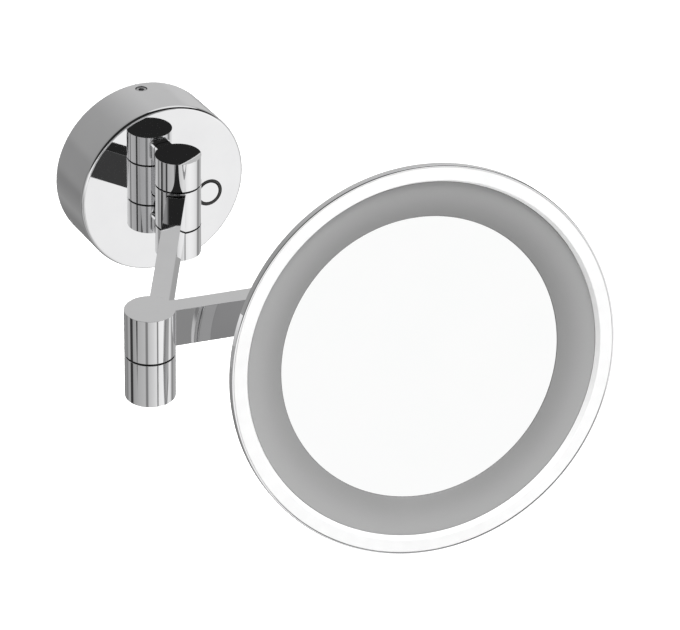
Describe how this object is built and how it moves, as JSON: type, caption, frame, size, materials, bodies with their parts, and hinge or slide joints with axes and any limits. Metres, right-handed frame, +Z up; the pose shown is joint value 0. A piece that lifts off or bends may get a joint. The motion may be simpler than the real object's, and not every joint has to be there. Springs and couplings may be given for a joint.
{
  "type": "extendable shaving mirror",
  "caption": "Wall-mounted round magnifying mirror with a lit rim, on two swinging arms with stacked barrel hinges, a tilting head and a push-button switch in the round base.",
  "frame": {"origin": "centre of the base's back face, in the wall plane", "axes": "+Z up, -Y straight out of the wall into the room, +X to the right of a person who faces the wall"},
  "size_m": [0.233, 0.2892, 0.1961],
  "materials": {
    "chrome": "mirror-polished chrome plate",
    "steel": "plain machined steel",
    "zinc": "zinc-plated pressed steel",
    "satin": "satin, fine bead-blasted",
    "mirror_silver": "silvered magnifying glass",
    "opal": "opal white acrylic light ring",
    "black_plastic": "black moulded plastic",
    "black_rubber": "matt black rubber",
    "white_plastic": "white moulded plastic",
    "green_board": "green circuit board"
  },
  "bodies": {
    "base": {"wall_plate": "zinc", "cable_grommet": "black_rubber", "driver_case": "black_plastic", "driver_board": "green_board", "driver_lid": "black_plastic", "driver_screw_left": "steel", "driver_screw_right": "steel", "terminal_block": "white_plastic", "base_cup": "chrome", "grub_screw_1": "steel", "grub_screw_2": "steel", "grub_screw_3": "steel", "button_bezel": "black_rubber", "push_switch": "black_plastic", "upper_lug": "chrome", "lower_lug": "chrome", "lug_screw_upper": "steel", "lug_screw_lower": "steel", "base_pin": "steel", "base_disc_spring": "steel", "base_plug": "chrome", "base_washer_upper": "black_plastic", "base_washer_lower": "black_plastic"},
    "button": {"button": "chrome"},
    "arm_1": {"arm_1": "chrome", "elbow_washer": "black_plastic", "elbow_disc_spring": "steel", "elbow_plug": "chrome"},
    "arm_2": {"arm_2": "chrome", "elbow_pin": "steel", "head_pin": "steel"},
    "knuckle": {"head_knuckle": "chrome", "head_washer": "black_plastic", "head_disc_spring": "steel", "head_plug": "chrome"},
    "mirror_head": {"head_bracket": "chrome", "tilt_bolt": "steel", "tilt_nut": "steel", "tilt_washer_left": "black_plastic", "tilt_washer_right": "black_plastic", "bracket_screw_1": "steel", "bracket_screw_2": "steel", "bracket_screw_3": "steel", "bracket_screw_4": "steel", "back_cover": "chrome", "cover_screw_1": "steel", "cover_screw_2": "steel", "cover_screw_3": "steel", "cover_screw_4": "steel", "head_rim": "chrome", "led_board": "green_board", "light_ring": "opal", "reflector_ring": "satin", "mirror_glass": "mirror_silver", "mirror_pad": "black_rubber"}
  },
  "joints": [
    {"name": "base_swivel", "type": "hinge", "parent": "base", "child": "arm_1", "pos_m": [0, -0.0515, 0], "axis": [0, 0, 1], "range_deg": [-58, 120]},
    {"name": "elbow_swivel", "type": "hinge", "parent": "arm_1", "child": "arm_2", "pos_m": [-0.09039, -0.20135, 0.01225], "axis": [0, 0, -1], "range_deg": [-60, 130]},
    {"name": "head_swivel", "type": "hinge", "parent": "arm_2", "child": "knuckle", "pos_m": [0.03775, -0.22325, 0.01225], "axis": [0, 0, 1], "range_deg": [-6, 150]},
    {"name": "head_tilt", "type": "hinge", "parent": "knuckle", "child": "mirror_head", "pos_m": [0.03471, -0.23998, 0], "axis": [-0.9839, 0.1788, 0], "range_deg": [-32, 3]},
    {"name": "button_press", "type": "slide", "parent": "base", "child": "button", "axis": [0, 1, 0], "range_m": [0, 0.0015], "stiffness_N_per_m": 1200, "springref_m": -0.0005}
  ]
}
